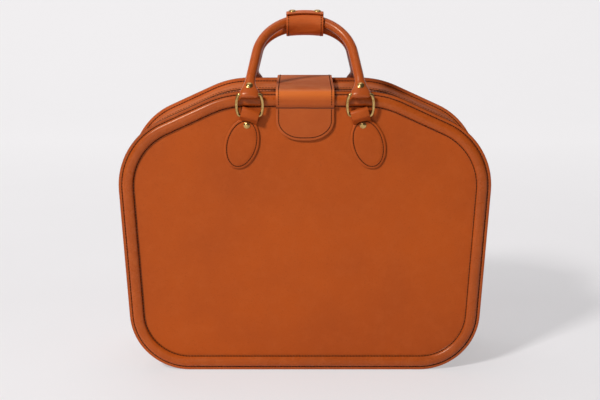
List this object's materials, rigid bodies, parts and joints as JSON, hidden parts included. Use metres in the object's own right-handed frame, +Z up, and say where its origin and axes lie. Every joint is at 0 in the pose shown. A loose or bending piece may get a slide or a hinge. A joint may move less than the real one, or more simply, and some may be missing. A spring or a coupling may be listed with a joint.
{
  "type": "leather suitcase",
  "caption": "Soft-shouldered leather suitcase with bolstered rims, a zip round its edge, a closing strap and rolled handles held together by a snapped wrap.",
  "frame": {"origin": "on the floor under the middle of the whole case's box", "axes": "+X to the right seen from the front, -Y out of the front panel, +Z up"},
  "size_m": [0.5072, 0.1871, 0.4992],
  "materials": {
    "tan_leather": "smooth vegetable-tanned leather with a soft sheen",
    "handle_leather": "rolled leather, slightly darker with use",
    "lining": "woven cotton lining",
    "board": "plain fibreboard",
    "zip_tape": "dark woven zip tape",
    "zip_metal": "aged brass",
    "brass": "polished pale brass",
    "steel": "nickel-plated magnet face"
  },
  "bodies": {
    "rear_half": {"rear_panel": "tan_leather", "rear_board": "board", "rear_rim": "tan_leather", "rear_gusset": "tan_leather", "rear_lining": "lining", "rear_zip_tape": "zip_tape", "rear_zip_teeth": "zip_metal", "bottom_gusset": "tan_leather", "rear_left_chape": "tan_leather", "rear_right_chape": "tan_leather", "rear_left_chape_rivet": "brass", "rear_right_chape_rivet": "brass", "flap_anchor": "tan_leather"},
    "front_half": {"front_panel": "tan_leather", "front_board": "board", "front_rim": "tan_leather", "front_gusset": "tan_leather", "front_lining": "lining", "front_zip_tape": "zip_tape", "front_zip_teeth": "zip_metal", "front_left_chape": "tan_leather", "front_right_chape": "tan_leather", "front_left_chape_rivet": "brass", "front_right_chape_rivet": "brass", "panel_magnet": "steel"},
    "closing_strap": {"closure_flap": "tan_leather", "flap_magnet": "steel"},
    "front_left_ring": {"front_left_ring": "brass"},
    "front_right_ring": {"front_right_ring": "brass"},
    "rear_left_ring": {"rear_left_ring": "brass"},
    "rear_right_ring": {"rear_right_ring": "brass"},
    "front_handle": {"front_handle": "handle_leather", "front_left_handle_rivet": "brass", "front_right_handle_rivet": "brass", "wrap_band": "tan_leather", "wrap_left_stud": "brass", "wrap_right_stud": "brass"},
    "wrap_leaf": {"wrap_tab": "tan_leather", "wrap_left_snap": "brass", "wrap_right_snap": "brass"},
    "rear_handle": {"rear_handle": "handle_leather", "rear_left_handle_rivet": "brass", "rear_right_handle_rivet": "brass"},
    "upper_slider": {"upper_zip_slider": "zip_metal"},
    "upper_pull": {"upper_zip_pull": "zip_metal"},
    "lower_slider": {"lower_zip_slider": "zip_metal"},
    "lower_pull": {"lower_zip_pull": "zip_metal"}
  },
  "joints": [
    {"name": "case_opening", "type": "hinge", "parent": "rear_half", "child": "front_half", "pos_m": [0, -0.0743, 0], "axis": [1, 0, 0], "range_deg": [0, 90], "deforming": ["closure_flap", "wrap_band"]},
    {"name": "strap_lift", "type": "hinge", "parent": "rear_half", "child": "closing_strap", "pos_m": [0, 0.0672, 0.3984], "axis": [-1, 0, 0], "range_deg": [0, 35]},
    {"name": "front_left_ring_swing", "type": "hinge", "parent": "front_half", "child": "front_left_ring", "pos_m": [-0.074, -0.0843, 0.363], "axis": [1, 0, 0], "range_deg": [0, 90]},
    {"name": "front_right_ring_swing", "type": "hinge", "parent": "front_half", "child": "front_right_ring", "pos_m": [0.074, -0.0843, 0.363], "axis": [1, 0, 0], "range_deg": [0, 90]},
    {"name": "front_handle_swing", "type": "hinge", "parent": "front_left_ring", "child": "front_handle", "pos_m": [-0.074, -0.08834, 0.39172], "axis": [1, 0, 0], "range_deg": [0, 110]},
    {"name": "wrap_leaf_lift", "type": "hinge", "parent": "front_handle", "child": "wrap_leaf", "pos_m": [0, -0.0032, 0.49378], "axis": [-1, 0, 0], "range_deg": [0, 100]},
    {"name": "rear_left_ring_swing", "type": "hinge", "parent": "rear_half", "child": "rear_left_ring", "pos_m": [-0.074, 0.0757, 0.363], "axis": [-1, 0, 0], "range_deg": [0, 70]},
    {"name": "rear_right_ring_swing", "type": "hinge", "parent": "rear_half", "child": "rear_right_ring", "pos_m": [0.074, 0.0757, 0.363], "axis": [-1, 0, 0], "range_deg": [0, 70]},
    {"name": "rear_handle_swing", "type": "hinge", "parent": "rear_left_ring", "child": "rear_handle", "pos_m": [-0.074, 0.08841, 0.38906], "axis": [-1, 0, 0], "range_deg": [0, 110], "deforming": ["wrap_band"]},
    {"name": "upper_slider_travel", "type": "slide", "parent": "rear_half", "child": "upper_slider", "axis": [0.0521, 0, 0.9986], "range_m": [0, 0.075]},
    {"name": "upper_pull_swing", "type": "hinge", "parent": "upper_slider", "child": "upper_pull", "pos_m": [0.24565, -0.0043, 0.18139], "axis": [0, -1, 0], "range_deg": [0, 120]},
    {"name": "lower_slider_travel", "type": "slide", "parent": "rear_half", "child": "lower_slider", "axis": [-0.0521, 0, -0.9986], "range_m": [0, 0.065]},
    {"name": "lower_pull_swing", "type": "hinge", "parent": "lower_slider", "child": "lower_pull", "pos_m": [0.24396, -0.0043, 0.14901], "axis": [0, -1, 0], "range_deg": [0, 120]}
  ],
  "couplings": [
    {"joint": "front_right_ring_swing", "follows": "front_left_ring_swing", "ratio": 1},
    {"joint": "rear_right_ring_swing", "follows": "rear_left_ring_swing", "ratio": 1}
  ]
}
